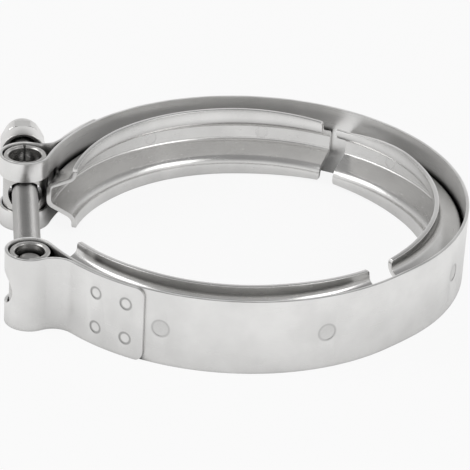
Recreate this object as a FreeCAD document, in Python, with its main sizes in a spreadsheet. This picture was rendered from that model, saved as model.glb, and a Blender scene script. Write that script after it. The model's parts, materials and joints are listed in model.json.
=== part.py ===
# V band clamp for an exhaust or turbocharger flange joint.
#
# A steel strap carries three V section retainers. Each end of the strap is folded out into a loop
# and welded back on itself. A T-bolt pivots in the front loop and passes through a trunnion in the
# rear loop, and a nut on its far end draws the two loops together. The strap is modelled opened,
# with its front third swung out about the gap between the front and right retainers.
#
# Frame: millimetres, origin on the axis of the right and rear retainers at the strap's mid height,
# +Z along that axis, and the latch on the -X side. Angles are in degrees about +Z from +X.
import FreeCAD, Part
import Sketcher
import math
import os
import re
from collections import namedtuple

V = FreeCAD.Vector
UP = V(0, 0, 1)
PARTS_FOLDER = "parts"

SIZES = [
    # the strap
    ("strap_radius", 63.0, "outside radius of the strap round the flanges"),
    ("strap_width", 22.4, "width of the strap, along the clamp's axis"),
    ("strap_thickness", 0.9, "sheet thickness of the strap"),
    ("layer_gap", 0.06, "air between welded layers, away from the welds"),
    ("tab_corner_radius", 2.5, "rounded corners at the ends of the strap"),
    ("return_bend_radius", 7.0, "bend where a loop turns back along the strap"),
    ("front_loop_angle", -150.5, "where the front loop leaves the strap, clamp closed"),
    ("rear_loop_angle", 168.7, "where the rear loop leaves the strap"),
    ("front_tab_angle", -117.4, "end of the front tab, clamp closed"),
    ("rear_tab_angle", 139.7, "end of the rear tab"),
    ("front_swing", 6.1, "how far the front third is swung open"),
    ("window_height", 10.4, "height of the bolt windows in the loops"),
    ("window_corner_radius", 2.6, "corners of the windows' ends"),
    ("window_neck_angle", 7.2, "from the loop to the end of its window, along the strap"),
    ("window_wrap", 2.6, "how far the front window reaches round the loop's far side"),
    # the retainers
    ("retainer_thickness", 1.4, "sheet thickness of the retainers"),
    ("retainer_width", 22.2, "height over the two lips"),
    ("groove_depth", 10.1, "from the strap's outer face in to the retainers' lips"),
    ("floor_half_width", 2.9, "from mid height to the corner of the groove's floor"),
    ("leg_angle", 25.0, "slope of the V's legs from the radial direction"),
    ("retainer_bend_radius", 2.5, "bends of the section, at mid sheet"),
    ("lip_corner_radius", 2.4, "corners of the lips"),
    ("lip_taper_run", 26.0, "length over which a lip gets lower towards its end"),
    ("lip_taper", 1.2, "how much lower a lip ends"),
    ("deep_lip_taper", 3.2, "the same, for the right retainer's upper lip at the rear gap"),
    ("right_start_angle", -42.8, "start of the right retainer"),
    ("right_span", 105.5, "length of the right retainer"),
    ("rear_span", 103.7, "length of the rear retainer"),
    ("front_span", 98.4, "length of the front retainer"),
    ("front_gap", 8.6, "between the front and right retainers, clamp closed"),
    ("rear_gap", 5.1, "between the right and rear retainers"),
    # the spot welds
    ("tab_weld_radius", 1.8, "small spot welds of the tabs"),
    ("tab_weld_height", 5.4, "their distance from mid height"),
    ("tab_weld_inset", 4.9, "from a tab's end to its first row of welds"),
    ("tab_weld_pitch", 8.9, "between the two rows"),
    ("groove_weld_radius", 1.2, "weld marks on the retainers' floors"),
    ("seam_weld_radius", 2.4, "large spot welds between strap and retainers"),
    ("weld_depth", 0.14, "depth of a weld's dimple"),
    ("front_weld_inset", 19.3, "from a retainer's end to its first weld: front"),
    ("front_weld_pitch", 42.4, "between the front retainer's welds"),
    ("side_weld_inset", 20.8, "the same for the right and rear retainers"),
    ("side_weld_pitch", 34.3, "between the right or rear retainer's welds"),
    # the T-bolt and its rolled sleeve in the front loop
    ("bolt_radius", 3.9, "thread of the T-bolt"),
    ("bolt_length", 93.6, "from the front pivot to the bolt's tip"),
    ("bolt_tip_chamfer", 1.0, "chamfer of the bolt's tip"),
    ("shank_radius", 3.7, "plain shank next to the head"),
    ("shank_length", 13.5, "from the front pivot to the start of the thread"),
    ("head_radius", 3.95, "cross bar of the bolt's head"),
    ("head_length", 17.8, "length of the cross bar"),
    ("head_dome", 2.6, "rounding of the cross bar's ends"),
    ("head_clearance", 0.25, "between the cross bar and its sleeve"),
    ("bolt_sleeve_wall", 1.5, "sheet thickness of the bolt's sleeve"),
    ("bolt_sleeve_length", 21.6, "height of the bolt's sleeve"),
    ("bolt_sleeve_opening", 42.0, "angle left open where the sleeve's edges face each other"),
    ("bolt_sleeve_opening_at", -114.0, "middle of that opening, from the bolt's right hand side"),
    ("bolt_sleeve_edge", 0.35, "rounded edges of the sleeve"),
    ("shank_clearance", 0.35, "between the shank and the hole in its sleeve"),
    ("front_loop_clearance", 0.4, "between the bolt's sleeve and the front loop"),
    # the trunnion in the rear loop
    ("trunnion_radius", 6.45, "outside radius of the trunnion"),
    ("trunnion_wall", 1.55, "sheet thickness of the trunnion"),
    ("trunnion_length", 21.8, "height of the trunnion"),
    ("trunnion_seam", 0.8, "slit where the rolled sheet's edges meet"),
    ("trunnion_edge", 0.4, "rounded edges of the trunnion"),
    ("trunnion_hole_radius", 5.0, "hole for the bolt, wider than the bolt"),
    ("rear_loop_clearance", 0.3, "between the trunnion and the rear loop"),
    # the thrust sleeve and the nut
    ("nut_standoff", 21.8, "from the rear pivot to the thrust sleeve's rim"),
    ("thrust_radius", 6.95, "outside radius of the thrust sleeve"),
    ("thrust_length", 5.6, "length of the thrust sleeve"),
    ("thrust_recess_radius", 5.4, "recess in its rim"),
    ("thrust_recess_depth", 3.9, "depth of that recess"),
    ("thrust_chamfer", 1.15, "countersink of the recess"),
    ("thrust_edge", 0.35, "broken outer edges"),
    ("thrust_clearance", 0.1, "between the thrust sleeve and the bolt"),
    ("nut_clearance", 0.06, "between the nut and the crests of the bolt's thread"),
    ("nut_face_gap", 0.15, "between the thrust sleeve and the nut"),
    ("nut_flats", 12.6, "across the nut's flats"),
    ("nut_hex_length", 5.4, "length of the nut's hexagon"),
    ("nut_chamfer_radius", 5.8, "radius from which the hexagon's corners are turned off"),
    ("nut_chamfer_slope", 36.0, "slope of the turned corners"),
    ("nut_collar_radius", 5.7, "locking collar behind the hexagon"),
    ("nut_collar_length", 3.4, "length of that collar"),
    ("nut_collar_edge", 1.5, "rounded edge of the collar"),
]

doc = FreeCAD.newDocument("v_band_clamp")

# --------------------------------------------------------------------------- sizes

sheet = doc.addObject("Spreadsheet::Sheet", "Sizes")
for row, (alias, value, note) in enumerate(SIZES, start=1):
    sheet.set(f"A{row}", alias)
    sheet.set(f"B{row}", str(value))
    sheet.set(f"C{row}", note)
    sheet.setAlias(f"B{row}", alias)
doc.recompute()

ALIASES = re.compile(r"\b(" + "|".join(alias for alias, value, note in SIZES) + r")\b")


def size(words):
    """The value of an expression in the sheet's aliases."""
    return float(sheet.evalExpression(words))


def bind(thing, prop, words):
    """Ties a property to an expression in the sheet's aliases."""
    thing.setExpression(prop, ALIASES.sub(r"Sizes.\1", words))


# --------------------------------------------------------------------------- plane geometry

Bend = namedtuple("Bend", "centre radius start end")   # an arc from start to end, in degrees


def polar(radius, angle, centre=V()):
    turn = math.radians(angle)
    return centre + V(radius * math.cos(turn), radius * math.sin(turn), 0)


def direction(vector):
    return math.degrees(math.atan2(vector.y, vector.x))


def onward(start, end):
    """The end angle, counted on from start without passing a full turn."""
    return start + (end - start) % 360


def back(start, end):
    return start - (start - end) % 360


def reversed_bend(bend):
    return Bend(bend.centre, bend.radius, bend.end, bend.start)


def mirrored_bend(bend):
    centre = V(bend.centre.x, -bend.centre.y, 0)
    return Bend(centre, bend.radius, -bend.start, -bend.end)


def turned_bend(bend, placement, angle):
    return Bend(placement.multVec(bend.centre), bend.radius, bend.start + angle, bend.end + angle)


def bend_edge(bend, offset=0.0):
    """The bend's arc, moved to its left by offset."""
    middle = (bend.start + bend.end) / 2
    return Part.Arc(*[bend_point(bend, angle, offset) for angle in (bend.start, middle, bend.end)])


def bend_point(bend, angle, offset=0.0):
    """The point of a bend at an angle about its centre, moved to the bend's left by offset."""
    heading = math.copysign(1.0, bend.radius * (bend.end - bend.start))
    return polar(bend.radius - offset * heading, angle, bend.centre)


def ribbon(bends, thickness):
    """The outline of a sheet, seen edge on, that follows the bends at its middle."""
    half = thickness / 2
    left = [bend_edge(bend, half) for bend in bends]
    right = [bend_edge(bend, -half) for bend in bends]
    ends = [(bends[0], bends[0].start), (bends[-1], bends[-1].end)]
    caps = [Part.LineSegment(bend_point(bend, angle, half), bend_point(bend, angle, -half))
            for bend, angle in ends]
    return left + right + caps


def offset_corners(corners, distance):
    """A bent line's corners, with every run moved to its left by distance."""
    normals = []
    for here, there in zip(corners, corners[1:]):
        run = (there - here).normalize()
        normals.append(V(-run.y, run.x, 0))
    moved = [corners[0] + normals[0] * distance]
    for corner, before, after in zip(corners[1:], normals, normals[1:]):
        moved.append(corner + (before + after) * (distance / (1 + before.dot(after))))
    moved.append(corners[-1] + normals[-1] * distance)
    return moved


def rounded_line(corners, radius, offset):
    """A bent line with rounded corners, moved to its left by offset from its middle line."""
    moved = offset_corners(corners, offset)
    edges = []
    last = moved[0]
    for before, corner, after in zip(moved, moved[1:], moved[2:]):
        incoming = (corner - before).normalize()
        outgoing = (after - corner).normalize()
        turn = incoming.x * outgoing.y - incoming.y * outgoing.x
        bend_radius = radius - math.copysign(offset, turn * offset)
        setback = bend_radius * math.tan(incoming.getAngle(outgoing) / 2)
        start = corner - incoming * setback
        end = corner + outgoing * setback
        inward = (outgoing - incoming).normalize()
        depth = math.hypot(bend_radius, setback) - bend_radius
        edges.append(Part.LineSegment(last, start))
        edges.append(Part.Arc(start, corner + inward * depth, end))
        last = end
    edges.append(Part.LineSegment(last, moved[-1]))
    return edges


# --------------------------------------------------------------------------- document helpers

def origin_plane(body, role):
    return [item for item in body.Origin.OriginFeatures if item.Role == role][0]


def new_body(label):
    body = doc.addObject("PartDesign::Body", label)
    body.Label = label
    return body


def new_sketch(body, role, edges, name):
    sketch = body.newObject("Sketcher::SketchObject", name)
    sketch.AttachmentSupport = [(origin_plane(body, role), "")]
    sketch.MapMode = "FlatFace"
    sketch.addGeometry(edges)
    return sketch


def polygon_sketch(body, role, corners, name):
    """A closed outline whose corners are pairs of expressions in the sheet's aliases."""
    points = [V(size(across), size(along), 0) for across, along in corners]
    edges = [Part.LineSegment(a, b) for a, b in zip(points, points[1:] + points[:1])]
    sketch = new_sketch(body, role, edges, name)
    start, end, origin = 1, 2, -1
    for index, corner in enumerate(corners):
        following = (index + 1) % len(corners)
        sketch.addConstraint(Sketcher.Constraint("Coincident", index, end, following, start))
        for kind, words in zip(("DistanceX", "DistanceY"), corner):
            place = sketch.addConstraint(
                Sketcher.Constraint(kind, origin, start, index, start, size(words)))
            bind(sketch, f"Constraints[{place}]", words)
    return sketch


def revolve(body, role, corners, name, kind="PartDesign::Revolution"):
    """Turns a closed outline a full circle about its sketch's upright axis."""
    sketch = polygon_sketch(body, role, corners, name + "_outline")
    feature = body.newObject(kind, name)
    feature.Profile = sketch
    feature.ReferenceAxis = (sketch, ["V_Axis"])
    feature.Angle = 360
    doc.recompute()
    return feature


def pad(body, sketch, length, name):
    """A pad of the given length, half on each side of its sketch."""
    feature = body.newObject("PartDesign::Pad", name)
    feature.Profile = sketch
    feature.SideType = "Symmetric"
    bind(feature, "Length", length)
    doc.recompute()
    return feature


def dress_edges(kind, body, base, chosen, amount, name):
    """Fillets or chamfers the edges of a feature that the chosen test picks out."""
    names = [f"Edge{number}" for number, edge in enumerate(base.Shape.Edges, start=1) if chosen(edge)]
    feature = body.newObject(f"PartDesign::{kind}", name)
    feature.Base = (base, names)
    bind(feature, "Radius" if kind == "Fillet" else "Size", amount)
    doc.recompute()
    return feature


def cylinder(name, radius, height, placement):
    thing = doc.addObject("Part::Cylinder", name)
    bind(thing, "Radius", radius)
    bind(thing, "Height", height)
    thing.Placement = placement
    return thing


def box(name, length, width, height, placement):
    thing = doc.addObject("Part::Box", name)
    for prop, words in (("Length", length), ("Width", width), ("Height", height)):
        bind(thing, prop, words)
    thing.Placement = placement
    return thing


def joined(name, shapes):
    thing = doc.addObject("Part::MultiFuse", name)
    thing.Shapes = shapes
    return thing


def cut(name, base, tool):
    thing = doc.addObject("Part::Cut", name)
    thing.Base = base
    thing.Tool = tool
    return thing


def placed(point, angle=0.0):
    return FreeCAD.Placement(point, FreeCAD.Rotation(UP, angle))


def pointing(point, angle):
    """Puts a primitive's Z axis level, at an angle about +Z, with its X axis to the right of it."""
    return placed(point, angle + 90) * FreeCAD.Placement(V(), FreeCAD.Rotation(V(1, 0, 0), 90))


# --------------------------------------------------------------------------- the clamp's layout

strap_middle = size("strap_radius - strap_thickness / 2")
tab_middle = size("strap_radius + layer_gap + strap_thickness / 2")
return_radius = size("return_bend_radius")
front_loop_radius = size(
    "head_radius + head_clearance + bolt_sleeve_wall + front_loop_clearance + strap_thickness / 2")
rear_loop_radius = size("trunnion_radius + rear_loop_clearance + strap_thickness / 2")

right_start = size("right_start_angle")
rear_start = size("right_start_angle + right_span + rear_gap")
front_end = size("right_start_angle - front_gap")
front_start = size("right_start_angle - front_gap - front_span")

hinge_point = polar(strap_middle, size("right_start_angle - front_gap / 2"))
swing_angle = size("front_swing")
swing = FreeCAD.Placement(V(), FreeCAD.Rotation(UP, swing_angle), hinge_point)


def latch_end(strap_start, loop_angle, loop_radius, tab_angle):
    """The strap from strap_start on, counter-clockwise, round its loop and back along itself."""
    loop_reach = strap_middle + loop_radius
    return_reach = tab_middle + return_radius
    between = loop_radius + return_radius
    spread = math.degrees(math.acos(
        (loop_reach ** 2 + return_reach ** 2 - between ** 2) / (2 * loop_reach * return_reach)))
    loop_centre = polar(loop_reach, loop_angle)
    return_centre = polar(return_reach, loop_angle - spread)
    to_strap = loop_angle + 180
    to_return = back(to_strap, direction(return_centre - loop_centre))
    to_loop = to_return + 180
    to_tab = onward(to_loop, loop_angle - spread + 180)
    return [
        Bend(V(), strap_middle, strap_start, loop_angle),
        Bend(loop_centre, loop_radius, to_strap, to_return),
        Bend(return_centre, return_radius, to_loop, to_tab),
        Bend(V(), tab_middle, loop_angle - spread, tab_angle),
    ]


rear_bends = latch_end(right_start, size("rear_loop_angle"), rear_loop_radius, size("rear_tab_angle"))
closed_front = latch_end(-front_end, -size("front_loop_angle"), front_loop_radius,
                         -size("front_tab_angle"))
front_bends = [turned_bend(reversed_bend(mirrored_bend(bend)), swing, swing_angle)
               for bend in reversed(closed_front)]

gap_turn = size("front_gap - front_swing")
gap_ends = [bend_point(front_bends[-1], front_bends[-1].end), polar(strap_middle, right_start)]
gap_radius = gap_ends[0].distanceToPoint(gap_ends[1]) / (2 * math.sin(math.radians(gap_turn) / 2))
gap_bend = Bend(gap_ends[1] - polar(gap_radius, right_start), gap_radius,
                right_start - gap_turn, right_start)

front_pivot = front_bends[2].centre
rear_pivot = rear_bends[1].centre
bolt_angle = direction(rear_pivot - front_pivot)
bolt_run = polar(1, bolt_angle)
bolt_frame = placed(front_pivot, bolt_angle - 90)       # its +Y runs along the bolt
trunnion_frame = placed(rear_pivot, bolt_angle - 90)


# --------------------------------------------------------------------------- the strap

def radial_cylinder(name, radius, inner, length, angle, height=0.0, carrier=None):
    """A cylinder along the radius at an angle, from the inner radius out."""
    place = pointing(polar(size(inner), angle) + UP * height, angle)
    return cylinder(name, radius, length, carrier.multiply(place) if carrier else place)


def make_strap():
    body = new_body("strap_sheet")
    outline = ribbon(front_bends + [gap_bend] + rear_bends, size("strap_thickness"))
    sheet_pad = pad(body, new_sketch(body, "XY_Plane", outline, "strap_path"),
                    "strap_width", "strap_pad")
    tab_ends = [bend_point(front_bends[0], front_bends[0].start),
                bend_point(rear_bends[-1], rear_bends[-1].end)]
    level = size("strap_width / 2")
    thickness = size("strap_thickness")

    def at_tab_corner(edge):
        middle = edge.CenterOfMass
        flat = V(middle.x, middle.y, 0)
        near = min(flat.distanceToPoint(end) for end in tab_ends) < thickness / 4
        return near and abs(abs(middle.z) - level) < thickness / 4

    dress_edges("Fillet", body, sheet_pad, at_tab_corner, "tab_corner_radius", "tab_corners")
    welded = joined("strap_with_nuggets", [body] + weld_nuggets())
    strap = cut("band_strap", welded, joined("strap_cutters", strap_windows() + strap_dimples()))
    strap.Label = "band_strap"
    return strap


def tab_weld_places():
    """Angle, height and carrier of each tab's four spot welds."""
    places = []
    for tab_angle, side, carrier in (("front_tab_angle", -1, swing), ("rear_tab_angle", 1, None)):
        for row in range(2):
            angle = size(tab_angle) + side * size("tab_weld_inset") + side * row * size("tab_weld_pitch")
            places += [(angle, sign * size("tab_weld_height"), carrier) for sign in (-1, 1)]
    return places


def weld_nuggets():
    """The melted cores that join each tab to the strap under it."""
    return [radial_cylinder(f"nugget_{number}", "tab_weld_radius / 2", "strap_radius - strap_thickness / 2",
                            "strap_thickness + layer_gap", angle, height, carrier)
            for number, (angle, height, carrier) in enumerate(tab_weld_places(), start=1)]


def strap_dimples():
    """The dimples that the welding electrodes leave on the outer faces."""
    dimples = [radial_cylinder(f"tab_dimple_{number}", "tab_weld_radius",
                               "strap_radius + layer_gap + strap_thickness - weld_depth",
                               "strap_thickness", angle, height, carrier)
               for number, (angle, height, carrier) in enumerate(tab_weld_places(), start=1)]
    for number, (angle, carrier) in enumerate(seam_weld_places(), start=1):
        dimples.append(radial_cylinder(f"seam_dimple_{number}", "seam_weld_radius",
                                       "strap_radius - weld_depth", "strap_thickness / 2",
                                       angle, 0.0, carrier))
    return dimples


def seam_weld_places():
    """Angle and carrier of the large welds that show on the strap's outer face."""
    front = [front_end - size("front_weld_inset") - number * size("front_weld_pitch")
             for number in range(2)]
    right = [right_start + size("side_weld_inset") + number * size("side_weld_pitch")
             for number in range(3)]
    rear = [rear_start + size("side_weld_inset") + number * size("side_weld_pitch")
            for number in range(2)]
    return [(angle, swing) for angle in front] + [(angle, None) for angle in right + rear]


def neck_window(name, loop_angle, side, reach, carrier):
    """The part of a window that runs from its rounded end, along the strap, into the loop."""
    inner = "strap_radius - 4 * strap_thickness"
    corner = size("window_corner_radius")
    start = size(loop_angle) - side * (size("window_neck_angle")
                                       - math.degrees(size("window_corner_radius / strap_radius")))
    height = size("window_height / 2")
    corners = [radial_cylinder(f"{name}_corner_{number}", "window_corner_radius", inner, reach, start,
                               level, carrier)
               for number, level in enumerate((height - corner, corner - height), start=1)]
    run = size("window_height * 2.5")
    blocks = [("run", "window_height * 2.5", "window_height", 0 if side > 0 else -run),
              ("end", "window_corner_radius", "window_height - 2 * window_corner_radius",
               -corner if side > 0 else 0)]
    for part, length, block_height, along in blocks:
        place = placed(polar(size(inner), start), start)
        place = place.multiply(placed(V(0, along, -size(block_height) / 2)))
        corners.append(box(f"{name}_{part}", reach, length, block_height,
                           carrier.multiply(place) if carrier else place))
    return joined(name, corners)


def strap_windows():
    """The rear window opens the whole loop, the front one only the side that faces the gap."""
    rear = neck_window("rear_window", "rear_loop_angle", 1, "strap_radius", None)
    front_neck = neck_window("front_neck", "front_loop_angle", -1, "8 * strap_thickness", swing)
    inner_layer = cylinder("inner_layer", "strap_radius + layer_gap / 2", "strap_width",
                           swing.multiply(placed(UP * -size("strap_width / 2"))))
    neck = doc.addObject("Part::Common", "front_neck_window")
    neck.Base = front_neck
    neck.Tool = inner_layer
    reach = "head_radius * 3"
    start = size("window_height / 2 - window_wrap")
    run = box("front_window_run", "2 * (" + reach + ")", reach, "window_height",
              bolt_frame.multiply(placed(V(-size(reach), start, -size("window_height / 2")))))
    round_end = cylinder("front_window_end", "window_height / 2", reach,
                         bolt_frame.multiply(pointing(V(0, start, 0), 180)))
    return [rear, neck, run, round_end]


# --------------------------------------------------------------------------- the retainers

def retainer_section():
    """The V section, in the plane of the clamp's radius and axis: lip, leg, floor, leg, lip."""
    sheet_half = size("retainer_thickness / 2")
    lip = size("strap_radius - groove_depth") + sheet_half
    floor = size("strap_radius - strap_thickness - layer_gap") - sheet_half
    low = size("floor_half_width")
    high = low + (floor - lip) * math.tan(math.radians(size("leg_angle")))
    top = size("retainer_width / 2")
    corners = [V(lip, top), V(lip, high), V(floor, low), V(floor, -low), V(lip, -high), V(lip, -top)]
    radius = size("retainer_bend_radius")
    edges = rounded_line(corners, radius, sheet_half) + rounded_line(corners, radius, -sheet_half)
    for end in (top, -top):
        edges.append(Part.LineSegment(V(lip - sheet_half, end), V(lip + sheet_half, end)))
    return edges


def lip_taper(name, end, inward, side, drop, carrier):
    """A slanted block over a lip's edge: the lip gets lower towards its end by drop."""
    run = size("lip_taper_run")
    tilt = math.degrees(math.atan(size(drop) / run))
    corner = polar(size("strap_radius - groove_depth"), end) + UP * side * (
        size("retainer_width / 2") - size(drop))
    place = placed(corner, end).multiply(
        FreeCAD.Placement(V(), FreeCAD.Rotation(V(1, 0, 0), inward * side * tilt)))
    overrun = run / 2
    depth = size("groove_depth")
    place = place.multiply(placed(V(-depth / 2, -overrun if inward > 0 else -run,
                                    0 if side > 0 else -depth / 2)))
    return box(name, "groove_depth", "lip_taper_run * 1.5", "groove_depth / 2",
               carrier.multiply(place) if carrier else place)


def make_retainer(label, start, span, welds, carrier=None, deep_end=False):
    """A V section retainer from its start angle on, with weld dimples in its groove."""
    body = new_body(label + "_section")
    feature = body.newObject("PartDesign::Revolution", label + "_turn")
    feature.Profile = new_sketch(body, "XZ_Plane", retainer_section(), label + "_profile")
    feature.ReferenceAxis = (feature.Profile[0], ["V_Axis"])
    bind(feature, "Angle", span)
    doc.recompute()
    level = size("retainer_width / 2")
    slack = size("retainer_thickness") / 10

    def at_lip_corner(edge):
        across = abs(edge.Length - size("retainer_thickness")) < slack
        return across and edge.BoundBox.ZLength < slack and abs(abs(edge.CenterOfMass.z) - level) < slack

    dress_edges("Fillet", body, feature, at_lip_corner, "lip_corner_radius", label + "_corners")
    place = placed(V(), start)
    body.Placement = carrier.multiply(place) if carrier else place
    floor = "strap_radius - strap_thickness - layer_gap - retainer_thickness"
    cutters = [radial_cylinder(f"{label}_dimple_{number}", "groove_weld_radius",
                               floor + " - strap_thickness", "strap_thickness + weld_depth",
                               angle, 0.0, carrier)
               for number, angle in enumerate(welds, start=1)]
    for end, inward in ((start, 1), (start + size(span), -1)):
        for side in (1, -1):
            drop = "deep_lip_taper" if deep_end and inward < 0 < side else "lip_taper"
            cutters.append(lip_taper(f"{label}_taper_{len(cutters)}", end, inward, side, drop, carrier))
    retainer = cut(label, body, joined(label + "_cutters", cutters))
    retainer.Label = label
    return retainer


def make_retainers():
    side_welds = [size("side_weld_inset") + number * size("side_weld_pitch") for number in range(3)]
    front_welds = [front_end - size("front_weld_inset") - number * size("front_weld_pitch")
                   for number in range(2)]
    return [
        make_retainer("front_retainer", front_start, "front_span", front_welds, swing),
        make_retainer("right_retainer", right_start, "right_span",
                      [right_start + angle for angle in side_welds], deep_end=True),
        make_retainer("rear_retainer", rear_start, "rear_span",
                      [rear_start + angle for angle in side_welds]),
    ]


# --------------------------------------------------------------------------- bolt, sleeve, trunnion

def make_bolt():
    """A threaded shank along +Y from a cross bar that stands on the pivot."""
    body = new_body("t_bolt")
    revolve(body, "XY_Plane", [
        ("0", "0"),
        ("shank_radius", "0"),
        ("shank_radius", "shank_length"),
        ("bolt_radius", "shank_length + bolt_radius - shank_radius"),
        ("bolt_radius", "bolt_length - bolt_tip_chamfer"),
        ("bolt_radius - bolt_tip_chamfer", "bolt_length"),
        ("0", "bolt_length"),
    ], "shank")
    cross_bar = revolve(body, "XZ_Plane", [
        ("0", "-head_length / 2"),
        ("head_radius", "-head_length / 2"),
        ("head_radius", "head_length / 2"),
        ("0", "head_length / 2"),
    ], "cross_bar")
    half = size("head_length / 2")

    def at_head_end(edge):
        return edge.BoundBox.ZLength < half / 100 and abs(abs(edge.CenterOfMass.z) - half) < half / 100

    dress_edges("Fillet", body, cross_bar, at_head_end, "head_dome", "head_domes")
    body.Placement = bolt_frame
    return body


def rolled_sleeve(label, inner, wall, length, opening, opening_at, rim_edge, hole, both_sides):
    """A sheet rolled to an upright sleeve, with an opening between its edges and a bolt hole."""
    body = new_body(label)
    middle = size(f"{inner} + ({wall}) / 2")
    outline = ribbon([Bend(V(), middle, opening_at + opening / 2, opening_at - opening / 2 + 360)],
                     size(wall))
    tube = pad(body, new_sketch(body, "XY_Plane", outline, label + "_path"), length, label + "_tube")
    half = size(length) / 2

    def at_rim(edge):
        level = edge.BoundBox.ZLength < half / 100 and abs(abs(edge.CenterOfMass.z) - half) < half / 100
        return level and edge.Length > size(wall) * 2

    dress_edges("Chamfer", body, tube, at_rim, rim_edge, label + "_edges")
    circle = new_sketch(body, "XZ_Plane", [Part.Circle(V(), V(0, 0, 1), size(hole))], label + "_circle")
    place = circle.addConstraint(Sketcher.Constraint("Radius", 0, size(hole)))
    bind(circle, f"Constraints[{place}]", hole)
    whole = body.Shape.copy()
    pocket = body.newObject("PartDesign::Pocket", label + "_hole")
    pocket.Profile = circle
    pocket.SideType = "Symmetric" if both_sides else "One side"
    bind(pocket, "Length", f"4 * ({inner} + {wall})" if both_sides else f"2 * ({inner} + {wall})")
    doc.recompute()
    if not both_sides and whole.cut(body.Shape).CenterOfGravity.y < 0:
        pocket.Reversed = True
        doc.recompute()
    if not body.Shape.Volume < whole.Volume:
        raise RuntimeError(f"{label}: its bolt hole cut nothing")
    return body


def make_bolt_sleeve():
    sleeve = rolled_sleeve(
        "bolt_sleeve", "head_radius + head_clearance", "bolt_sleeve_wall", "bolt_sleeve_length",
        size("bolt_sleeve_opening"), size("bolt_sleeve_opening_at"), "bolt_sleeve_edge",
        "shank_radius + shank_clearance", both_sides=False)
    sleeve.Placement = bolt_frame
    return sleeve


def make_trunnion():
    slit = 2 * math.degrees(math.asin(size("trunnion_seam / 2 / (trunnion_radius - trunnion_wall / 2)")))
    trunnion = rolled_sleeve(
        "trunnion", "trunnion_radius - trunnion_wall", "trunnion_wall", "trunnion_length",
        slit, 90.0, "trunnion_edge", "trunnion_hole_radius", both_sides=True)
    trunnion.Placement = trunnion_frame
    return trunnion


# --------------------------------------------------------------------------- thrust sleeve and nut

def make_thrust_sleeve():
    """A cup round the bolt, with its rim at local Y = 0 towards the trunnion."""
    body = new_body("thrust_sleeve")
    bore = "bolt_radius + thrust_clearance"
    revolve(body, "XY_Plane", [
        (bore, "thrust_recess_depth"),
        ("thrust_recess_radius", "thrust_recess_depth"),
        ("thrust_recess_radius", "thrust_chamfer"),
        ("thrust_recess_radius + thrust_chamfer", "0"),
        ("thrust_radius - thrust_edge / 2", "0"),
        ("thrust_radius", "thrust_edge / 2"),
        ("thrust_radius", "thrust_length - thrust_edge"),
        ("thrust_radius - thrust_edge", "thrust_length"),
        (bore, "thrust_length"),
    ], "cup")
    body.Placement = placed(rear_pivot + bolt_run * size("nut_standoff"), bolt_angle - 90)
    return body


def make_nut():
    """A hexagon with turned corners and a locking collar behind it, centred on the hexagon."""
    body = new_body("lock_nut")
    corner = size("nut_flats") / math.sqrt(3)
    corners = [polar(corner, 60 * number) for number in range(6)]
    hexagon = new_sketch(body, "XZ_Plane",
                         [Part.LineSegment(a, b) for a, b in zip(corners, corners[1:] + corners[:1])],
                         "hexagon_outline")
    pad(body, hexagon, "nut_hex_length", "hexagon")
    far = "nut_flats"
    fall = f"({far} - nut_chamfer_radius) * tan(nut_chamfer_slope * 1 deg)"
    for name, side in (("near_corners", "-"), ("far_corners", "")):
        face = f"{side}nut_hex_length / 2"
        inward = f"{face} + {fall}" if side else f"{face} - {fall}"
        revolve(body, "XY_Plane", [("nut_chamfer_radius", face), (far, face), (far, inward)],
                name, "PartDesign::Groove")
    end = "nut_hex_length / 2 + nut_collar_length"
    revolve(body, "XY_Plane", [
        ("0", "0"),
        ("nut_collar_radius", "0"),
        ("nut_collar_radius", f"{end} - nut_collar_edge"),
        ("nut_collar_radius - nut_collar_edge", end),
        ("0", end),
    ], "collar")
    bore = "bolt_radius + nut_clearance"
    revolve(body, "XY_Plane", [
        ("0", "-nut_hex_length"), (bore, "-nut_hex_length"), (bore, "nut_hex_length * 2"),
        ("0", "nut_hex_length * 2"),
    ], "bore", "PartDesign::Groove")
    middle = size("nut_standoff + thrust_length + nut_face_gap + nut_hex_length / 2")
    body.Placement = placed(rear_pivot + bolt_run * middle, bolt_angle - 90)
    return body


# --------------------------------------------------------------------------- build and export

pieces = [make_strap()] + make_retainers()
pieces += [make_bolt(), make_bolt_sleeve(), make_trunnion(), make_thrust_sleeve(), make_nut()]
doc.recompute()

for thing in doc.Objects:
    if "Invalid" in thing.State or "Error" in thing.State:
        raise RuntimeError(f"{thing.Label}: {thing.State}")
for piece in pieces:
    shape = piece.Shape
    if shape.isNull() or not shape.isValid():
        raise RuntimeError(f"{piece.Label}: its shape is null or not valid")

os.makedirs(PARTS_FOLDER, exist_ok=True)
for piece in pieces:
    piece.Shape.exportStep(os.path.join(PARTS_FOLDER, piece.Label + ".step"))
    print(f"{piece.Label}: {len(piece.Shape.Solids)} solid, {piece.Shape.Volume:.1f} mm3")

print(f"front pivot {front_pivot.x:.4f} {front_pivot.y:.4f}, rear pivot {rear_pivot.x:.4f} "
      f"{rear_pivot.y:.4f}, bolt angle {bolt_angle:.4f}")
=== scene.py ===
import json
import math

import bmesh
import bpy
from mathutils import Matrix, Vector


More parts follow.
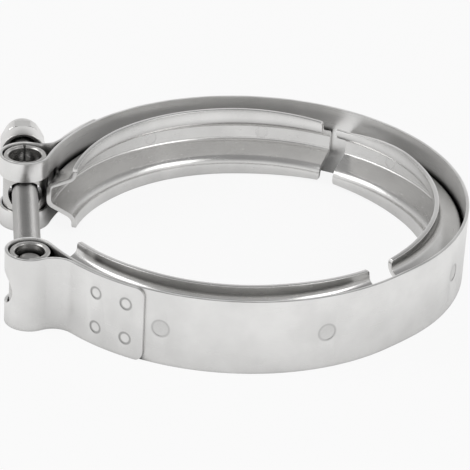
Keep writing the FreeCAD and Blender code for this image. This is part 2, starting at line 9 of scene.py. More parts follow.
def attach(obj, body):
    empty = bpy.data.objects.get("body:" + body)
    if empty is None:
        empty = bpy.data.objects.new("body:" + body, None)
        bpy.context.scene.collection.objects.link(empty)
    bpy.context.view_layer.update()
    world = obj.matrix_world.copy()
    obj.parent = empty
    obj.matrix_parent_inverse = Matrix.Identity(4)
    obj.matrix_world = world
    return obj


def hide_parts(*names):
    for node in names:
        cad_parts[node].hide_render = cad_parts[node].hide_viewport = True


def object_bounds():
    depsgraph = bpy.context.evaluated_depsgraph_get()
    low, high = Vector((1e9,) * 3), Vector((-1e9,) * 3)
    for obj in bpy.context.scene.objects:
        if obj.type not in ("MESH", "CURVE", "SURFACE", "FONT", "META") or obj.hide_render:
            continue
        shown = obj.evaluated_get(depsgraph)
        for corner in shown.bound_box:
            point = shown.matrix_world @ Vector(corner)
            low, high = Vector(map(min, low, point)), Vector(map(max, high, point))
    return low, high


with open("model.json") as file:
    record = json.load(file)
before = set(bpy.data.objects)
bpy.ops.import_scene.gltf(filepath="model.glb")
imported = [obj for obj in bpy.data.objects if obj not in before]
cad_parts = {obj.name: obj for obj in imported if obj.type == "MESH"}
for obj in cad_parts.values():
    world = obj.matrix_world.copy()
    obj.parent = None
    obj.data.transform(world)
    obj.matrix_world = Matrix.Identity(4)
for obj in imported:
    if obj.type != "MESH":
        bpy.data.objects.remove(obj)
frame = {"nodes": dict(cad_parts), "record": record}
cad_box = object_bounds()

# The V band clamp for the render: a dressed or a new piece for each of the nine CAD nodes, in a studio.

MM = 0.001
record = frame["record"]
joints = {joint["name"]: joint for joint in record["behaviour"]["joints"]}
ratios = {pair["joint"]: pair["ratio"] for pair in record["behaviour"]["couplings"]}


# ---------------------------------------------------------------- strap and retainers, in mm

STRAP_RADIUS, STRAP_THICKNESS, LAYER_GAP = 63.0, 0.9, 0.06

# angles round the clamp in degrees: where the retainers and the gaps between them lie
RIGHT_START, RIGHT_SPAN = -42.8, 105.5
FRONT_GAP, FRONT_SPAN = 8.6, 98.4
REAR_GAP, REAR_SPAN = 5.1, 103.7
FRONT_END = RIGHT_START - FRONT_GAP
FRONT_START = FRONT_END - FRONT_SPAN
REAR_START = RIGHT_START + RIGHT_SPAN + REAR_GAP

# the front third stands open, swung about the middle of the strap's sheet at the front gap
SWING = Matrix.Rotation(math.radians(6.1), 3, "Z")
HINGE = (Matrix.Rotation(math.radians(RIGHT_START - FRONT_GAP / 2), 3, "Z")
         @ Vector((STRAP_RADIUS - STRAP_THICKNESS / 2, 0, 0)))

# the V section at mid sheet: a floor, legs that slope from the radial direction, and lips
SHEET_HALF, GROOVE_DEPTH = 0.7, 10.1
FLOOR_MIDDLE = STRAP_RADIUS - STRAP_THICKNESS - LAYER_GAP - SHEET_HALF
LIP_MIDDLE = STRAP_RADIUS - GROOVE_DEPTH + SHEET_HALF
FLOOR_HALF_WIDTH, LIP_TOP, LEG_ANGLE = 2.9, 11.1, math.radians(25)
LEG_TOP = FLOOR_HALF_WIDTH + (FLOOR_MIDDLE - LIP_MIDDLE) * math.tan(LEG_ANGLE)
FLOOR_BEND, LIP_BEND, BEND_STEPS = 2.0, 3.2, 8

# the lips get lower towards their ends, and have rounded corners and edges
LIP_TAPER, DEEP_TAPER, TAPER_RUN, TAPER_POWER = 1.2, 3.2, 28.0, 1.6
LIP_CORNER, LIP_EDGE = 2.4, 0.22
LOWEST_LIP = LIP_TOP - LEG_TOP - LIP_BEND * math.tan((math.pi / 2 - LEG_ANGLE) / 2) - LIP_EDGE
CORNER_TURNS = [math.radians(turn) for turn in (0, 20, 35, 50, 65, 80)]
EDGE_TURNS = [math.radians(turn) for turn in (0, 30, 60, 90)]
RETAINER_STEPS = 80

# the spot welds: insets, pitches and tab ends in degrees, radii and the tab welds' height in mm
FRONT_WELD_INSET, FRONT_WELD_PITCH = 19.3, 42.4
SIDE_WELD_INSET, SIDE_WELD_PITCH = 20.8, 34.3
FRONT_TAB_END, REAR_TAB_END = -117.4, 139.7
TAB_WELD_INSET, TAB_WELD_PITCH, TAB_WELD_HEIGHT = 4.9, 8.9, 5.4
# the inside of the retainers' floors
GROOVE_RADIUS = 60.6
# the marks on the tabs are centred just outside the tabs' faces, which narrows them
TAB_MARK_RADIUS = 64.9


# ---------------------------------------------------------------- latch, in metres

FRONT_PIVOT = Vector(joints["bolt_swing"]["pos_m"])
REAR_PIVOT = Vector(joints["trunnion_turn"]["pos_m"])
ALONG_BOLT = (REAR_PIVOT - FRONT_PIVOT).normalized()
# the bolt's frame: X to its right, Y along it from the front pivot, Z up
BOLT_FRAME = Matrix.Translation(FRONT_PIVOT) @ Matrix((
    (ALONG_BOLT.y, ALONG_BOLT.x, 0, 0),
    (-ALONG_BOLT.x, ALONG_BOLT.y, 0, 0),
    (0, 0, 1, 0),
    (0, 0, 0, 1)))

# cross bar
HEAD_RADIUS, HEAD_HALF, HEAD_DOME, HEAD_FLAT = 3.95 * MM, 8.9 * MM, 2.6 * MM, 0.25 * MM
# shank: it starts inside the bar, flares near the thread and ends tucked in under the first crest
SHANK_RADIUS, BOLT_RADIUS = 3.7 * MM, 3.9 * MM
SHANK_START, SHANK_END, FLARE_END, FLARE = 1.0 * MM, 13.3 * MM, 13.6 * MM, 0.05 * MM
CREST_STEP, TUCK = 0.02 * MM, 0.3 * MM
# thread: its pitch is what the nut moves in one turn, its form the share of its depth over one turn
THREAD_START, BOLT_END, TIP_CHAMFER = 13.9 * MM, 93.6 * MM, 0.9 * MM
PITCH = ratios["sleeve_slide"] * 2 * math.pi
THREAD_DEPTH, FADE_TURNS = 0.61 * PITCH, 1.2
ROOT_RADIUS = BOLT_RADIUS - THREAD_DEPTH
THREAD_FORM = (0.0, 0.12, 0.72, 1.0, 0.72, 0.12)
ROWS_PER_TURN = len(THREAD_FORM)
HEAD_STEPS, SHANK_STEPS, THREAD_STEPS, RIM_STEPS = 56, 48, 40, 8

# the front loop's window reaches further round the loop's left side than in the solid
WINDOW_HALF, WINDOW_WRAP, WINDOW_NEAR, WINDOW_FAR = 5.2 * MM, 5.0 * MM, 4.0 * MM, 12.0 * MM
WINDOW_STEPS = 24

# lock nut: a hexagon with well rounded corners, turned down at both faces, and a domed collar
NUT_FLAT, NUT_CORNER, NUT_FACE, NUT_SLOPE = 6.3 * MM, 6.75 * MM, 5.8 * MM, math.radians(36)
HEXAGON_LENGTH, COLLAR_LENGTH, COLLAR_RADIUS, COLLAR_DOME = 5.4 * MM, 3.4 * MM, 5.7 * MM, 1.5 * MM
NUT_BORE = BOLT_RADIUS + 0.06 * MM
NUT_STEPS, NUT_ROWS = 120, 24
nut_start = min((vertex.co - FRONT_PIVOT).dot(ALONG_BOLT)
                for vertex in frame["nodes"]["lock_nut"].data.vertices)

# how far edges are rounded, and what counts as an edge
SHEET_EDGE, SLEEVE_EDGE, RING_EDGE = 0.12 * MM, 0.10 * MM, 0.08 * MM
EDGE_SEGMENTS, EDGE_PROFILE = 2, 0.6
SHARP_ANGLE, FLAT_ANGLE = math.radians(40), math.radians(0.5)
SAME_PLACE = 0.002 * MM
SMOOTH_ANGLE, BOLT_SMOOTH, NUT_SMOOTH = math.radians(35), math.radians(50), math.radians(15)


# ---------------------------------------------------------------- places on the clamp

def on_strap(angle, height, swung=False, radius=STRAP_RADIUS):
    """A place in metres, from an angle in degrees and a height and radius in mm."""
    place = Matrix.Rotation(math.radians(angle), 3, "Z") @ Vector((radius, 0, height))
    if swung:
        place = HINGE + SWING @ (place - HINGE)
    return place * MM


def weld_row(start, step, count, radius, swung=False):
    """A row of welds at mid height, from an angle on and a step apart."""
    return [on_strap(start + number * step, 0, swung, radius) for number in range(count)]


def seam_welds(radius, rear_count):
    """The welds between strap and retainers, as they show at a radius."""
    return (weld_row(FRONT_END - FRONT_WELD_INSET, -FRONT_WELD_PITCH, 2, radius, swung=True)
            + weld_row(RIGHT_START + SIDE_WELD_INSET, SIDE_WELD_PITCH, 3, radius)
            + weld_row(REAR_START + SIDE_WELD_INSET, SIDE_WELD_PITCH, rear_count, radius))


def tab_welds(end, way, swung):
    """A tab's four small welds, in two rows; way is the direction from the tab's end to its loop."""
    angles = [end + way * (TAB_WELD_INSET + row * TAB_WELD_PITCH) for row in range(2)]
    return [on_strap(angle, side * TAB_WELD_HEIGHT, swung, TAB_MARK_RADIUS)
            for angle in angles for side in (-1, 1)]


def about_bolt(radius, angle, along):
    """A place turned about the bolt's axis."""
    return BOLT_FRAME @ Vector((radius * math.sin(angle), along, radius * math.cos(angle)))


def about_pivot(radius, angle, along):
    """A place turned about the front pivot's axis."""
    return BOLT_FRAME @ Vector((radius * math.cos(angle), radius * math.sin(angle), along))


def about_nut(limit, angle, along):
    """A place on the nut, no further out than its flats."""
    from_flat = (angle + math.pi / 6) % (math.pi / 3) - math.pi / 6
    return about_bolt(min(limit, NUT_FLAT / math.cos(from_flat)), angle, nut_start + along)


# ---------------------------------------------------------------- nodes

class Graph:
    """Short calls for building the nodes of a material or a world."""

    def __init__(self, owner):
        self.owner = owner
        self.owner.use_nodes = True
        self.tree = owner.node_tree
        self.tree.nodes.clear()
        self.places = self.made("ShaderNodeTexCoord", {}).node.outputs
        self.position = self.places["Object"]

    def feed(self, socket, value):
        if isinstance(value, bpy.types.NodeSocket):
            self.tree.links.new(value, socket)
        else:
            socket.default_value = value

    def made(self, kind, inputs, output=0, **settings):
        """An output of a new node, whose inputs are given by name or number."""
        node = self.tree.nodes.new(kind)
        for key, value in settings.items():
            setattr(node, key, value)
        for key, value in inputs.items():
            self.feed(node.inputs[key], value)
        return node.outputs[output]

    def ended(self, kind, shader):
        """Feeds the shader to an output node and returns what the graph belongs to."""
        self.feed(self.tree.nodes.new(kind).inputs[0], shader)
        return self.owner

    def math(self, operation, *values, clamp=False):
        return self.made("ShaderNodeMath", dict(enumerate(values)), operation=operation, use_clamp=clamp)

    def vector(self, operation, *values, output=0):
        return self.made("ShaderNodeVectorMath", dict(enumerate(values)), output, operation=operation)

    def noise(self, scale, detail, roughness=0.55):
        """Noise with a scale of its own along each axis, per metre."""
        place = self.vector("MULTIPLY", self.position, scale)
        return self.made("ShaderNodeTexNoise", {"Vector": place, "Scale": 1.0, "Detail": detail,
                                                "Roughness": roughness}, "Fac")

    def ramp(self, value, low, high, to_low=0.0, to_high=1.0):
        steps = dict(enumerate((value, low, high, to_low, to_high)))
        return self.made("ShaderNodeMapRange", steps, interpolation_type="SMOOTHSTEP")

    def mix_color(self, share, first, second):
        return self.made("ShaderNodeMix", {"Factor": share, "A": first, "B": second}, "Result",
                         data_type="RGBA")

    def mix_shader(self, share, first, second):
        return self.made("ShaderNodeMixShader", {0: share, 1: first, 2: second})

    def glow(self, kind, color):
        """An emission or background shader of strength 1."""
        return self.made(kind, {"Color": color, "Strength": 1.0})

    def bump(self, height, distance, strength=1.0, under=None):
        inputs = {"Height": height, "Distance": distance, "Strength": strength}
        if under is not None:
            inputs["Normal"] = under
        return self.made("ShaderNodeBump", inputs, "Normal")

    def spots(self, centres, radius, soft):
        """1 inside the given spheres, 0 outside, with a soft edge."""
        total = None
        for centre in centres:
            away = self.vector("DISTANCE", self.position, centre, output="Value")
            inside = self.ramp(away, radius - soft, radius + soft, 1.0, 0.0)
            total = inside if total is None else self.math("MAXIMUM", total, inside)
        return total

    def openness(self, reach):
        """1 in the open, and less where other surfaces stand within reach."""
        return self.made("ShaderNodeAmbientOcclusion", {"Distance": reach}, "AO", samples=8)

    def away_from_bolt(self):
        """Distance from the bolt's axis."""
        offset = self.vector("SUBTRACT", self.position, FRONT_PIVOT)
        across = self.vector("CROSS_PRODUCT", offset, ALONG_BOLT)
        return self.vector("LENGTH", across, output="Value")


# ---------------------------------------------------------------- steel, with noise scales per metre

# a range holds the low and high values of what it maps, and where not 0 and 1, what they turn into
CLOUD_SCALE, CLOUD_DETAIL, CLOUD_RANGE, CLOUD_SHARE = 60.0, 4.0, (0.35, 0.68), 0.7
CLOUD_DARK, CLOUD_LIGHT = 0.90, 1.04
GRAIN_DETAIL, GRAIN_FINENESS, GRAIN_MATT = 2.0, 0.7, 0.09
SCUFF_ALONG, SCUFF_ACROSS, SCUFF_DETAIL, SCUFF_FINENESS = 260.0, 1900.0, 5.0, 0.6
SCUFF_RANGE, SCUFF_MATT, SCUFF_DEPTH, SCUFF_STRENGTH = (0.55, 0.75), 0.06, 1.4, 0.6
MOTTLE_SCALE, MOTTLE_DETAIL, MOTTLE_FINENESS, MOTTLE_RANGE = 1500.0, 4.0, 0.7, (0.2, 0.75, 0.45, 1.0)
MARK_INSIDE, MARK_OUTSIDE, MARK_SOFT = 0.86, 1.10, 0.10
RING_SHARE, MARK_MATT, MARK_DEPTH, MARK_STRENGTH = 0.8, 0.12, 0.05 * MM, 0.7
# painted shade: how far the shade painted into crevices reaches, how openness maps to it, the share of
# painted shade in the thread's roots, and the near-black grey it darkens towards
CREVICE_SHADE_REACH, CREVICE_SHADE_RANGE = 4.0 * MM, (0.10, 0.55, 1.0, 0.0)
ROOT_SHADE_SHARE, ROOT_MARGIN = 0.85, 0.03 * MM
PAINTED_SHADE_GREY = (0.05, 0.05, 0.05, 1.0)
# a weld mark's radius, and the tints of its spot and of the ring round it
SEAM_MARK, TAB_MARK, GROOVE_MARK = (2.5 * MM, 0.80, 0.62), (2.0 * MM, 1.02, 0.40), (1.9 * MM, 1.03, 0.86)


def tinted(color, share):
    return [channel * share for channel in color] + [1.0]


def weld_marks(g, color, look, centres, radius, tint, ring_tint):
    """Adds round marks to a look of shade, roughness and normal: mottled spots, each in a ring."""
    shade, roughness, normal = look
    soft = radius * MARK_SOFT
    inside = g.spots(centres, radius * MARK_INSIDE, soft)
    ring = g.math("SUBTRACT", g.spots(centres, radius * MARK_OUTSIDE, soft), inside, clamp=True)
    mottle = g.noise([MOTTLE_SCALE] * 3, MOTTLE_DETAIL, MOTTLE_FINENESS)
    spot = g.math("MULTIPLY", inside, g.ramp(mottle, *MOTTLE_RANGE))
    shade = g.mix_color(spot, shade, tinted(color, tint))
    shade = g.mix_color(g.math("MULTIPLY", ring, RING_SHARE), shade, tinted(color, ring_tint))
    roughness = g.math("ADD", roughness, g.math("MULTIPLY", inside, MARK_MATT), clamp=True)
    normal = g.bump(g.math("MULTIPLY", mottle, inside), MARK_DEPTH, MARK_STRENGTH, normal)
    return shade, roughness, normal


def steel(name, color, rough, grain, along=45.0, across=5200.0, depth=0.0022 * MM, welds=(),
          painted_root_shade=False):
    """Satin steel: grain lines over cloudy patches and light scuffs, with painted shade in crevices.

    Grain is the axis that the lines lie across. Welds are rows of places, radius and two tints. The root
    option paints shade into the bolt thread's roots.
    """
    g = Graph(bpy.data.materials.new(name))
    cloud = g.noise([CLOUD_SCALE] * 3, CLOUD_DETAIL)
    lines = g.noise([across if axis == grain else along for axis in "xyz"], GRAIN_DETAIL, GRAIN_FINENESS)
    scuffs = g.noise([SCUFF_ACROSS if axis == grain else SCUFF_ALONG for axis in "xyz"],
                     SCUFF_DETAIL, SCUFF_FINENESS)
    patches = g.math("MULTIPLY", g.ramp(cloud, *CLOUD_RANGE), CLOUD_SHARE)
    shade = g.mix_color(patches, tinted(color, CLOUD_DARK), tinted(color, CLOUD_LIGHT))
    lined = g.math("MULTIPLY", g.math("SUBTRACT", lines, 0.5), GRAIN_MATT)
    scuffed = g.math("MULTIPLY", g.ramp(scuffs, *SCUFF_RANGE), SCUFF_MATT)
    roughness = g.math("ADD", g.math("ADD", rough, lined), scuffed)
    normal = g.bump(scuffs, depth * SCUFF_DEPTH, SCUFF_STRENGTH, g.bump(lines, depth))
    for row in welds:
        shade, roughness, normal = weld_marks(g, color, (shade, roughness, normal), *row)
    # painted shade: the colour darkens towards near black where other surfaces stand within a few mm
    shade = g.mix_color(g.ramp(g.openness(CREVICE_SHADE_REACH), *CREVICE_SHADE_RANGE), shade, PAINTED_SHADE_GREY)
    # painted shade: the bolt darkens in its thread's roots, below the crests
    if painted_root_shade:
        roots = g.ramp(g.away_from_bolt(), ROOT_RADIUS, SHANK_RADIUS - ROOT_MARGIN, 1.0, 0.0)
        shade = g.mix_color(g.math("MULTIPLY", roots, ROOT_SHADE_SHARE), shade, PAINTED_SHADE_GREY)
    metal = g.made("ShaderNodeBsdfPrincipled", {"Metallic": 1.0, "Base Color": shade,
                                                "Roughness": roughness, "Normal": normal})
    return g.ended("ShaderNodeOutputMaterial", metal)


all_tab_welds = tab_welds(FRONT_TAB_END, -1, True) + tab_welds(REAR_TAB_END, 1, False)
# on the strap's outside, the rear tab covers the last of the rear retainer's three welds
strap_steel = steel("strap_satin_steel", (0.80, 0.795, 0.785), 0.29, grain="z", welds=[
    (seam_welds(STRAP_RADIUS, rear_count=2), *SEAM_MARK),
    (all_tab_welds, *TAB_MARK)])
retainer_steel = steel("retainer_satin_steel", (0.76, 0.754, 0.744), 0.24, grain="z", depth=0.0007 * MM,
                       welds=[(seam_welds(GROOVE_RADIUS, rear_count=3), *GROOVE_MARK)])
# the bolt gets painted shade in its thread's roots
bolt_steel = steel("bolt_bright_steel", (0.46, 0.454, 0.446), 0.34, grain="y", along=300.0, across=2600.0,
                   painted_root_shade=True)
sleeve_steel = steel("sleeve_rolled_steel", (0.60, 0.593, 0.58), 0.28, grain="z", along=120.0,
                     across=3000.0)
nut_steel = steel("nut_turned_steel", (0.74, 0.732, 0.72), 0.30, grain="y", along=300.0, across=3000.0)


# ---------------------------------------------------------------- meshes

def placed(name, data):
    """A new object in the scene."""
    thing = bpy.data.objects.new(name, data)
    bpy.context.scene.collection.objects.link(thing)
    return thing


def new_piece(name, verts, faces):
    mesh = bpy.data.meshes.new(name)
    mesh.from_pydata(verts, [], faces)
    mesh.validate()
    return placed(name, mesh)


def finish_piece(piece, node, body, material, smooth_angle=SMOOTH_ANGLE):
    """Gives the piece its material and its body, and has it stand for the node."""
    mesh = piece.data
    mesh.materials.clear()
    mesh.materials.append(material)
    mesh.polygons.foreach_set("use_smooth", [True] * len(mesh.polygons))
    mesh.set_sharp_from_angle(angle=smooth_angle)
    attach(piece, body)
    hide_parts(node)


def editable(piece):
    """A copy of the piece's mesh for editing."""
    work = bmesh.new()
    work.from_mesh(piece.data)
    return work


def merged(piece):
    """An editable mesh in which the faces share their vertices."""
    work = editable(piece)
    bmesh.ops.remove_doubles(work, verts=work.verts, dist=SAME_PLACE)
    return work


def write_back(work, piece):
    """Puts an edited mesh back into the piece."""
    work.to_mesh(piece.data)
    work.free()


def round_edges(work, edges, width):
    bmesh.ops.bevel(work, geom=edges, offset=width, segments=EDGE_SEGMENTS, profile=EDGE_PROFILE,
                    affect="EDGES", clamp_overlap=True)


def cut_away(piece, verts, faces):
    """Takes the closed form of verts and faces out of the piece."""
    write_back(merged(piece), piece)
    cutter = new_piece("cutter", verts, faces)
    opening = piece.modifiers.new("opening", "BOOLEAN")
    opening.operation = "DIFFERENCE"
    opening.solver = "EXACT"
    opening.object = cutter
    depsgraph = bpy.context.evaluated_depsgraph_get()
    result = bpy.data.meshes.new_from_object(piece.evaluated_get(depsgraph))
    piece.modifiers.clear()
    piece.data = result
    bpy.data.objects.remove(cutter)


def dressed_copy(node, name, body, material, edge, opening=None):
    """The CAD node's shape with its sharp edges slightly rounded, as sheet and turned edges are."""
    piece = placed(name, frame["nodes"][node].data.copy())
    if opening:
        cut_away(piece, *opening)
    work = merged(piece)
    bmesh.ops.dissolve_limit(work, angle_limit=FLAT_ANGLE, verts=work.verts, edges=work.edges)
    sharp = [edge for edge in work.edges
             if len(edge.link_faces) == 2 and edge.calc_face_angle(0.0) > SHARP_ANGLE]
    round_edges(work, sharp, edge)
    write_back(work, piece)
    finish_piece(piece, node, body, material)


def tube_faces(rows, count, caps=True):
    """The faces of a tube of rings, each with count vertices, and of its flat ends."""
    faces = []
    for row in range(rows - 1):
        for number in range(count):
            near = row * count + number
            side = row * count + (number + 1) % count
            faces.append((near, side, side + count, near + count))
    if caps:
        last = (rows - 1) * count
        faces.append(tuple(reversed(range(count))))
        faces.append(tuple(range(last, last + count)))
    return faces


def lathe(outline, steps, turn, caps=True):
    """Turns (radius, along) points about an axis; turn gives the place of (radius, angle, along)."""
    verts = [turn(radius, 2 * math.pi * step / steps, along)
             for radius, along in outline for step in range(steps)]
    return verts, tube_faces(len(outline), steps, caps)


def rounded_rim(radius, end, rounding):
    """The (radius, along) points of a turned edge, from the end's face round to the side."""
    slopes = [math.pi / 2 * step / RIM_STEPS for step in range(RIM_STEPS + 1)]
    return [(radius - rounding * (1 - math.sin(slope)), end - rounding * (1 - math.cos(slope)))
            for slope in slopes]


# ---------------------------------------------------------------- T bolt

def thread():
    """Rows of points that climb by one pitch in a turn, so that crests and roots are one helix."""
    verts = []
    faces = []
    rows = int((BOLT_END - THREAD_START) / PITCH * ROWS_PER_TURN)
    for row in range(rows + 1):
        depth = THREAD_DEPTH * THREAD_FORM[row % ROWS_PER_TURN]
        for step in range(THREAD_STEPS):
            climbed = THREAD_START + PITCH * (row / ROWS_PER_TURN + step / THREAD_STEPS) - PITCH / 2
            along = min(max(climbed, THREAD_START), BOLT_END)
            grown = min(1.0, (along - THREAD_START) / (FADE_TURNS * PITCH))
            chamfer = BOLT_RADIUS - (along - (BOLT_END - TIP_CHAMFER))
            radius = min(BOLT_RADIUS - depth * grown, chamfer)
            verts.append(about_bolt(radius, 2 * math.pi * step / THREAD_STEPS, along))
    for near in range(rows * THREAD_STEPS):
        row, step = divmod(near, THREAD_STEPS)
        # the last point of a row meets the first point of the row that starts one turn further on
        side = near + 1 if step < THREAD_STEPS - 1 else (row + ROWS_PER_TURN) * THREAD_STEPS
        if side + THREAD_STEPS < len(verts):
            faces.append((near, side, side + THREAD_STEPS, near + THREAD_STEPS))
    faces.append(tuple(range(rows * THREAD_STEPS, len(verts))))
    return verts, faces


def t_bolt():
    """Cross bar, plain shank and thread in one piece."""
    bar_end = [(HEAD_FLAT, HEAD_HALF)] + rounded_rim(HEAD_RADIUS, HEAD_HALF, HEAD_DOME)
    bar = [(radius, -height) for radius, height in bar_end] + bar_end[::-1]
    shank = [(SHANK_RADIUS, SHANK_START), (SHANK_RADIUS, SHANK_END), (SHANK_RADIUS + FLARE, FLARE_END),
             (BOLT_RADIUS - CREST_STEP, THREAD_START), (BOLT_RADIUS - TUCK, THREAD_START + TUCK)]
    verts = []
    faces = []
    for more_verts, more_faces in (lathe(bar, HEAD_STEPS, about_pivot),
                                   lathe(shank, SHANK_STEPS, about_bolt),
                                   thread()):
        faces += [tuple(index + len(verts) for index in face) for face in more_faces]
        verts += more_verts
    piece = new_piece("t_bolt_threaded", verts, faces)
    finish_piece(piece, "t_bolt", "bolt", bolt_steel, BOLT_SMOOTH)


# ---------------------------------------------------------------- strap's window

def wider_window():
    """A block with one half round side, which takes the front loop's window further to the left."""
    turns = [math.pi * (1 + number / WINDOW_STEPS) for number in range(WINDOW_STEPS + 1)]
    outline = [(WINDOW_HALF - WINDOW_WRAP + WINDOW_HALF * math.sin(turn), WINDOW_HALF * math.cos(turn))
               for turn in turns]
    outline += [(WINDOW_HALF, WINDOW_HALF), (WINDOW_HALF, -WINDOW_HALF)]
    verts = [BOLT_FRAME @ Vector((-reach, along, height))
             for reach in (WINDOW_NEAR, WINDOW_FAR) for along, height in outline]
    return verts, tube_faces(2, len(outline))


# ---------------------------------------------------------------- retainers: the V section swept round

def bent_half():
    """The section's middle line from mid height up to the lip, as (place, normal) pairs."""
    corners = [Vector((FLOOR_MIDDLE, 0)), Vector((FLOOR_MIDDLE, FLOOR_HALF_WIDTH)),
               Vector((LIP_MIDDLE, LEG_TOP)), Vector((LIP_MIDDLE, LIP_TOP))]
    line = []
    for bend, before, corner, after in zip((FLOOR_BEND, LIP_BEND), corners, corners[1:], corners[2:]):
        incoming = (corner - before).normalized()
        outgoing = (after - corner).normalized()
        turn = -incoming.angle_signed(outgoing)
        setback = bend * math.tan(abs(turn) / 2)
        inward = Vector((-incoming.y, incoming.x)) * math.copysign(1, turn)
        centre = corner - incoming * setback + inward * bend
        for step in range(BEND_STEPS + 1):
            spin = Matrix.Rotation(turn * step / BEND_STEPS, 2)
            line.append((centre + spin @ (-inward * bend), spin @ Vector((incoming.y, -incoming.x))))
    return line


def section(top_drop, bottom_drop):
    """The closed section as (radius, height) points, each lip lowered by its own drop."""
    upper = bent_half()
    lower = [(Vector((place.x, -place.y)), Vector((normal.x, -normal.y)))
             for place, normal in reversed(upper)]
    middle = lower + upper
    outline = []
    for face, line, drop in ((1, middle, top_drop), (-1, middle[::-1], bottom_drop)):
        outline += [place + normal * SHEET_HALF * face for place, normal in line]
        for side, turns in ((face, EDGE_TURNS), (-face, EDGE_TURNS[::-1])):
            for turn in turns:
                reach = SHEET_HALF - LIP_EDGE + LIP_EDGE * math.cos(turn)
                height = LIP_TOP - drop - LIP_EDGE + LIP_EDGE * math.sin(turn)
                outline.append(Vector((LIP_MIDDLE + side * reach, face * height)))
    return outline


def lip_drop(away, taper):
    """How much lower a lip is at a distance from its end."""
    lowered = taper * max(0.0, 1 - away / TAPER_RUN) ** TAPER_POWER
    short = max(0.0, LIP_CORNER - away)
    corner = LIP_CORNER - math.sqrt(LIP_CORNER ** 2 - short ** 2)
    return min(LOWEST_LIP, max(lowered, corner))


def retainer_sheet(node, start, span, swung=False, deep_end=False):
    """A retainer from its start angle on; deep_end makes the far end of its upper lip the lower one."""
    length = math.radians(span) * LIP_MIDDLE
    near = [LIP_CORNER * (1 - math.cos(turn)) for turn in CORNER_TURNS]
    even = [LIP_CORNER + (length - 2 * LIP_CORNER) * step / RETAINER_STEPS
            for step in range(RETAINER_STEPS + 1)]
    stations = near + even + [length - away for away in reversed(near)]
    verts = []
    for station in stations:
        first_drop = lip_drop(station, LIP_TAPER)
        top_drop = max(first_drop, lip_drop(length - station, DEEP_TAPER if deep_end else LIP_TAPER))
        bottom_drop = max(first_drop, lip_drop(length - station, LIP_TAPER))
        angle = start + span * station / length
        verts += [on_strap(angle, place.y, swung, place.x) for place in section(top_drop, bottom_drop)]
    piece = new_piece(f"{node}_sheet", verts, tube_faces(len(stations), len(verts) // len(stations)))
    work = editable(piece)
    bmesh.ops.recalc_face_normals(work, faces=work.faces)
    # only the flat ends have more than four corners
    rims = [edge for edge in work.edges if any(len(face.verts) > 4 for face in edge.link_faces)]
    round_edges(work, rims, SHEET_EDGE)
    write_back(work, piece)
    finish_piece(piece, node, "band", retainer_steel)


# ---------------------------------------------------------------- lock nut

def lock_nut():
    outline = [(NUT_BORE, HEXAGON_LENGTH + COLLAR_LENGTH), (NUT_BORE, 0.0)]
    for row in range(NUT_ROWS + 1):
        along = HEXAGON_LENGTH * (1 - math.cos(math.pi * row / NUT_ROWS)) / 2
        turned = NUT_FACE + min(along, HEXAGON_LENGTH - along) / math.tan(NUT_SLOPE)
        outline.append((min(NUT_CORNER, turned), along))
    outline.append((COLLAR_RADIUS, HEXAGON_LENGTH))
    outline += reversed(rounded_rim(COLLAR_RADIUS, HEXAGON_LENGTH + COLLAR_LENGTH, COLLAR_DOME))
    outline.append(outline[0])
    piece = new_piece("lock_nut_turned", *lathe(outline, NUT_STEPS, about_nut, caps=False))
    finish_piece(piece, "lock_nut", "nut", nut_steel, NUT_SMOOTH)


# ---------------------------------------------------------------- the nine pieces

t_bolt()
dressed_copy("band_strap", "strap_sheet", "band", strap_steel, SHEET_EDGE, wider_window())
retainer_sheet("front_retainer", FRONT_START, FRONT_SPAN, swung=True)
retainer_sheet("right_retainer", RIGHT_START, RIGHT_SPAN, deep_end=True)
retainer_sheet("rear_retainer", REAR_START, REAR_SPAN)
dressed_copy("bolt_sleeve", "bolt_sleeve_rolled", "bolt", sleeve_steel, SLEEVE_EDGE)
dressed_copy("trunnion", "trunnion_rolled", "trunnion", sleeve_steel, SLEEVE_EDGE)
dressed_copy("thrust_sleeve", "thrust_sleeve_turned", "thrust_sleeve", nut_steel, RING_EDGE)
lock_nut()


# ---------------------------------------------------------------- floor, world and light, in metres

FLOOR_REACH, FLOOR_TONE_SCALE, FLOOR_TONE_DETAIL = 4.0, 9.0, 2.0
FLOOR_DARK, FLOOR_LIGHT, WHITE = (0.84, 0.84, 0.84, 1), (0.86, 0.86, 0.86, 1), (1, 1, 1, 1)
# how white the floor is for the camera and in reflections, where painted shade darkens it within reach of
# the clamp
CAMERA_SHARE, MIRRORED_SHARE, CONTACT_SHADE_REACH = 0.90, 0.93, 0.03
# the world's grey levels, from straight down at 0 to straight up at 1
SKY_STOPS = [(0.0, 0.85), (0.48, 0.92), (0.62, 1.0), (0.72, 0.70), (0.84, 0.30), (1.0, 0.36)]
SOFTBOXES = {"left_softbox": (-0.9, -0.2, 0.75), "right_softbox": (0.9, -0.5, 0.8)}
SOFTBOX_SIZE, SOFTBOX_WATTS = (0.7, 0.5), 2.4


def floor_material():
    """Matt grey that keeps the clamp's shadow, mostly white for the camera and in reflections, with
    painted shade in reflections near the clamp.
    """
    g = Graph(bpy.data.materials.new("pale_floor"))
    rays = g.made("ShaderNodeLightPath", {}).node.outputs
    mirrored = g.math("ADD", rays["Is Glossy Ray"], rays["Is Transmission Ray"], clamp=True)
    # painted shade: the floor's white in reflections darkens where the clamp stands within reach
    mirrored = g.math("MULTIPLY", mirrored, g.openness(CONTACT_SHADE_REACH))
    white_share = g.math("ADD", g.math("MULTIPLY", rays["Is Camera Ray"], CAMERA_SHARE),
                         g.math("MULTIPLY", mirrored, MIRRORED_SHARE))
    tone = g.mix_color(g.noise([FLOOR_TONE_SCALE] * 3, FLOOR_TONE_DETAIL), FLOOR_DARK, FLOOR_LIGHT)
    matt = g.made("ShaderNodeBsdfDiffuse", {"Color": tone})
    blend = g.mix_shader(white_share, matt, g.glow("ShaderNodeEmission", WHITE))
    return g.ended("ShaderNodeOutputMaterial", blend)


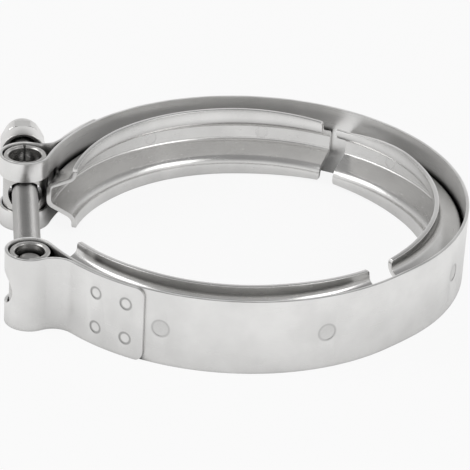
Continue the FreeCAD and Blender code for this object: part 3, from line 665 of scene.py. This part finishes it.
def studio_world():
    """White for the camera, and a grey gradient from bottom to top for all other rays."""
    g = Graph(bpy.data.worlds.new("studio"))
    upward = g.made("ShaderNodeSeparateXYZ", {0: g.places["Generated"]}, "Z")
    sky = g.made("ShaderNodeValToRGB", {0: g.math("MULTIPLY_ADD", upward, 0.5, 0.5)})
    stops = sky.node.color_ramp.elements
    while len(stops) < len(SKY_STOPS):
        stops.new(0.5)
    for stop, (place, level) in zip(stops, SKY_STOPS):
        stop.position = place
        stop.color = (level, level, level, 1)
    blend = g.mix_shader(g.made("ShaderNodeLightPath", {}, "Is Camera Ray"),
                         g.glow("ShaderNodeBackground", sky), g.glow("ShaderNodeBackground", WHITE))
    return g.ended("ShaderNodeOutputWorld", blend)


def softbox(name, place):
    """A rectangular lamp that faces the clamp's centre."""
    lamp = bpy.data.lights.new(name, "AREA")
    lamp.shape = "RECTANGLE"
    lamp.size, lamp.size_y = SOFTBOX_SIZE
    lamp.energy = SOFTBOX_WATTS
    thing = placed(name, lamp)
    thing.location = place
    thing.rotation_euler = (-Vector(place)).to_track_quat("-Z", "Y").to_euler()


floor_level = cad_box[0][2]
corners = [(x * FLOOR_REACH, y * FLOOR_REACH, floor_level)
           for x, y in ((-1, -1), (1, -1), (1, 1), (-1, 1))]
floor = new_piece("floor", corners, [(0, 1, 2, 3)])
floor.data.materials.append(floor_material())
bpy.context.scene.world = studio_world()
for name, place in SOFTBOXES.items():
    softbox(name, place)


# ---------------------------------------------------------------- camera, as fitted to the photograph

CAMERA_AWAY, CAMERA_UP = 0.756, math.radians(27.96)
YAW, PITCH_TURN, ROLL = (math.radians(angle) for angle in (0.353, 0.317, 3.418))
camera_data = bpy.data.cameras.new("camera")
camera_data.sensor_width = 36.0
camera_data.lens = 196.85
camera_data.clip_start = 0.05
camera = placed("camera", camera_data)
bpy.context.scene.camera = camera
eye = Vector((0, -CAMERA_AWAY * math.cos(CAMERA_UP), CAMERA_AWAY * math.sin(CAMERA_UP)))
ahead = -eye.normalized()
sideways = Vector((1, 0, 0))
level_rows = Matrix((sideways, -sideways.cross(ahead), ahead))
right, down, forward = (Matrix.Rotation(ROLL, 3, "Z") @ Matrix.Rotation(PITCH_TURN, 3, "X")
                        @ Matrix.Rotation(YAW, 3, "Y") @ level_rows)
camera.matrix_world = Matrix((
    (right.x, -down.x, -forward.x, eye.x),
    (right.y, -down.y, -forward.y, eye.y),
    (right.z, -down.z, -forward.z, eye.z),
    (0, 0, 0, 1)))

bpy.context.scene.view_settings.view_transform = "Standard"
